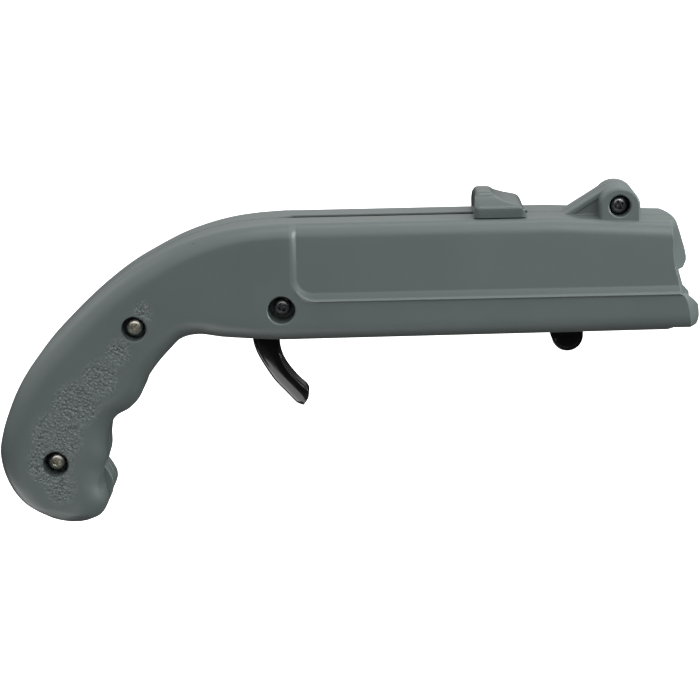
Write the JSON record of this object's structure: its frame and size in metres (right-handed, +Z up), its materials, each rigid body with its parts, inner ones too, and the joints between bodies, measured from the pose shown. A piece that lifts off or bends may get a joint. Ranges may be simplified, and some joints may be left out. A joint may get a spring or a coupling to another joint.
{
  "type": "bottle cap launcher",
  "caption": "Pistol-shaped bottle opener that pops a crown cap off and fires it with a spring-driven striker, cocked by a top slider and released by a trigger.",
  "frame": {"origin": "centre of the whole object's box", "axes": "+X along the barrel to the muzzle, +Z up toward the slider and the front boss, +Y to the far side without screw wells"},
  "size_m": [0.1994, 0.036, 0.0934],
  "materials": {
    "shell_plastic": "satin grey-green moulded ABS",
    "black_plastic": "glossy black moulded plastic",
    "bright_steel": "nickel plated or bare bright steel",
    "dark_steel": "black oxide steel",
    "rubber": "matt black rubber"
  },
  "bodies": {
    "frame": {"left_shell": "shell_plastic", "right_shell": "shell_plastic", "grip_screw_upper": "bright_steel", "grip_screw_lower": "bright_steel", "trigger_pivot_screw": "dark_steel", "front_boss_screw": "dark_steel", "guide_rod": "bright_steel", "main_spring": "bright_steel", "stop_bumper": "rubber", "trigger_bush": "bright_steel", "trigger_spring": "bright_steel", "catch_pin": "bright_steel", "catch_spring": "bright_steel", "opener_plate": "bright_steel", "cap_magnet": "bright_steel"},
    "striker": {"striker": "black_plastic", "cocking_slider": "shell_plastic", "slider_pin": "bright_steel", "spring_washer": "bright_steel"},
    "trigger": {"trigger": "black_plastic"},
    "cap_catch": {"cap_catch": "black_plastic"}
  },
  "joints": [
    {"name": "striker_slide", "type": "slide", "parent": "frame", "child": "striker", "axis": [1, 0, 0], "range_m": [-0.052, 0], "stiffness_N_per_m": 120, "springref_m": 0.02, "deforming": ["main_spring"]},
    {"name": "trigger_pull", "type": "hinge", "parent": "frame", "child": "trigger", "pos_m": [-0.0181, 0, 0.0151], "axis": [0, 1, 0], "range_deg": [0, 10], "stiffness_Nm_per_rad": 0.3, "springref_deg": -11.46, "deforming": ["trigger_spring"]},
    {"name": "catch_release", "type": "hinge", "parent": "frame", "child": "cap_catch", "pos_m": [0.0626, 0, 0.0116], "axis": [0, 1, 0], "range_deg": [0, 12], "stiffness_Nm_per_rad": 0.1, "springref_deg": -11.46, "deforming": ["catch_spring"]}
  ]
}
